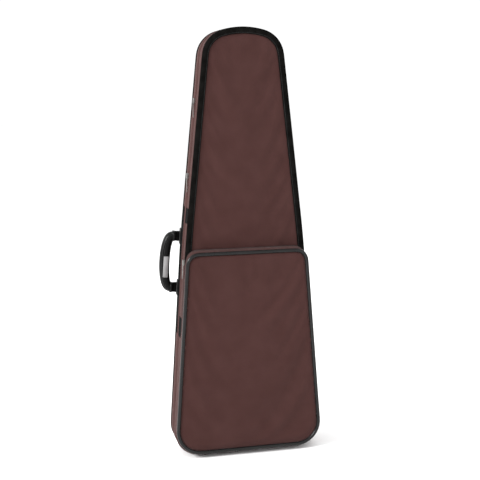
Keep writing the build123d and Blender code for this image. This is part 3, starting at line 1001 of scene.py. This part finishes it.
def handle_ends(place):
    """Collars, rolled strap ends and the pads they turn on, one of each at both ends.

    Each CAD node holds both ends, so it is hidden once, with the upper end.
    """
    for sign, end in ((-1, "lower"), (1, "upper")):
        middle = sign * GRIP_HALF_SPAN
        outs, depths = rounded_section(13 * MM, 15 * MM, 2.4)
        levels = [(7.8, 0.86), (8.3, 0.97), (10, 1), (12, 1), (13.8, 0.97), (14.4, 0.86)]
        rings = [[(u * MM, d * s, middle + o * s) for o, d in zip(outs, depths)] for u, s in levels]
        collar = loft(f"handle_{end}_collar", rings, materials["leatherette"])
        fit(placed(collar, place), "handle", "leatherette", *(["handle_collars"] if sign > 0 else []))
        turn = np.linspace(0.5, 2 * math.pi - 0.5, 16)
        profile = [(4 * MM * math.cos(a), 4 * MM * math.sin(a)) for a in turn]
        profile = [(9 * MM, 1.9 * MM)] + profile + [(9 * MM, -1.9 * MM)]
        rings = [[(u, d, middle + v * MM) for u, d in profile] for v in (-12, -11.6, 0, 11.6, 12)]
        roll = loft(f"handle_{end}_strap", rings, materials["webbing"])
        fit(placed(roll, place), "handle", "webbing", *(["handle_strap_ends"] if sign > 0 else []))
        pad = plate(
            f"handle_{end}_pad", ((0, 0, 1), (0, 1, 0), (1, 0, 0)), Vector((-6.7 * MM, 0, middle)),
            (40 * MM, 22 * MM, 4.6 * MM), materials["leatherette"], 5 * MM,
        )
        fit(placed(pad, place), "rear_shell", "leatherette", *(["handle_pads"] if sign > 0 else []))


# ---------------------------------------------------------------- inside and metal

def inside_pieces():
    """Neck rest with its strap, and the pads at the guitar's two ends."""
    def groove(u, v):
        return 1 - 0.64 / (1 + np.exp((np.abs(u) - 0.5) * 40))

    low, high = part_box("neck_rest")
    rest = cushion("neck_rest_padding", low, high, materials["lining"], groove, 60)
    fit(rest, "rear_shell", "lining", "neck_rest")
    for node_name in ("headstock_pad", "strap_button_pad"):
        low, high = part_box(node_name)
        pad = cushion(f"{node_name}_padding", low, high, materials["lining"])
        fit(pad, "rear_shell", "lining", node_name)
    low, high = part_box("neck_strap")
    corner = 4 * MM
    path = [(low.x, high.y), (low.x, low.y + corner), (low.x + corner, low.y),
            (high.x - corner, low.y), (high.x, low.y + corner), (high.x, high.y)]
    strap = ribbon("neck_strap_webbing", path, low.z, high.z, -1.5 * MM, materials["webbing"])
    fit(strap, "rear_shell", "webbing", "neck_strap")
    low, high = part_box("neck_strap_fastener")
    patch = plate(
        "neck_strap_patch", ((1, 0, 0), (0, 0, 1), (0, 1, 0)), (low + high) / 2,
        (high.x - low.x, high.z - low.z, high.y - low.y), materials["webbing"], 3 * MM,
    )
    fit(patch, "rear_shell", "webbing", "neck_strap_fastener")


def zip_metal():
    """Sliders and pulls keep their CAD shape, with softened edges and a nickel finish."""
    for place in ("upper", "lower", "pocket"):
        for part in ("slider", "pull"):
            metal = frame["nodes"][f"{place}_zip_{part}"]
            metal.data.materials.clear()
            metal.data.materials.append(materials["zip_metal"])
            bevel = metal.modifiers.new("edges", "BEVEL")
            bevel.width = 0.45 * MM
            bevel.segments = 3
            bevel.angle_limit = math.radians(40)


# ---------------------------------------------------------------- view

def add_camera():
    """Camera where the photographer stood."""
    data = bpy.data.cameras.new("camera")
    data.lens = CAMERA_LENS
    data.clip_end = 30
    camera = bpy.data.objects.new("camera", data)
    camera.location = CAMERA_PLACE
    aim = (Vector(CAMERA_TARGET) - Vector(CAMERA_PLACE)).to_track_quat("-Z", "Y")
    roll = Quaternion((0, 0, 1), math.radians(CAMERA_ROLL))
    camera.rotation_mode = "QUATERNION"
    camera.rotation_quaternion = aim @ roll
    bpy.context.collection.objects.link(camera)
    bpy.context.scene.camera = camera


def add_light(name, place, target, size, power):
    """Soft square light that faces a point."""
    data = bpy.data.lights.new(name, "AREA")
    data.size, data.energy = size, power
    light = bpy.data.objects.new(name, data)
    light.location = place
    light.rotation_mode = "QUATERNION"
    light.rotation_quaternion = (Vector(target) - Vector(place)).to_track_quat("-Z", "Y")
    bpy.context.collection.objects.link(light)


def add_studio():
    """Pale floor, bright surroundings and large soft lights."""
    verts = [(x, y, 0) for x, y in ((-40, -10), (40, -10), (40, 70), (-40, 70))]
    floor = make_object("floor", verts, [(0, 1, 2, 3)], materials["floor"])
    world = bpy.data.worlds.new("studio")
    world.use_nodes = True
    surround = world.node_tree.nodes["Background"]
    surround.inputs["Color"].default_value = (1, 1, 1, 1)
    surround.inputs["Strength"].default_value = 1.06
    bpy.context.scene.world = world
    bpy.context.scene.view_settings.view_transform = "Standard"
    middle = (0, 0, 0.5)
    add_light("key", (-3.2, -0.9, 2.2), middle, 1.2, 170)
    add_light("fill", (2.2, -3.0, 1.4), middle, 1.6, 12)
    add_light("back", (0.5, 2.6, 2.2), middle, 1.6, 30)


def build_shells(run):
    """Everything that repeats on both half shells."""
    for shell, side in SHELLS.items():
        gusset(shell, side, run)
        zip_half(shell, side, run)
        wall(shell, side, run)
        lining(shell, side, run)


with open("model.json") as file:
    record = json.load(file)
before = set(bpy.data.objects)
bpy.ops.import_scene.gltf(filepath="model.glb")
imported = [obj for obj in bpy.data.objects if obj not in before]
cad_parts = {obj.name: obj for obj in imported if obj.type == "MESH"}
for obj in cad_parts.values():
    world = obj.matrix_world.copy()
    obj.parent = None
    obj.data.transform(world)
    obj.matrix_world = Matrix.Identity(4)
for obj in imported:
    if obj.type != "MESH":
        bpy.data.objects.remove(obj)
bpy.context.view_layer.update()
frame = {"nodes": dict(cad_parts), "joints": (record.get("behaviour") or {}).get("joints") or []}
materials = make_materials()
bag, pocket = bag_run(), pocket_run()

build_shells(bag)
rear_panel(bag)
front_panel(bag)
back_trim(bag)
front_trim(bag)
hinge_cloth(bag)
side_patch("handle_patch_leather", bag, "handle_patch", "rear_shell", PATCH_RISE)
side_patch("upper_tab_leather", bag, "upper_side_tab", "front_shell", TAB_RISE)
side_patch("lower_tab_leather", bag, "lower_side_tab", "front_shell", TAB_RISE)
pocket_panel(pocket)
pocket_piping(pocket)
pocket_sides(pocket)
pocket_zip(pocket)
grip_place = handle_place()
handle_grip(grip_place)
handle_label(grip_place)
handle_ends(grip_place)
inside_pieces()
zip_metal()
add_camera()
add_studio()
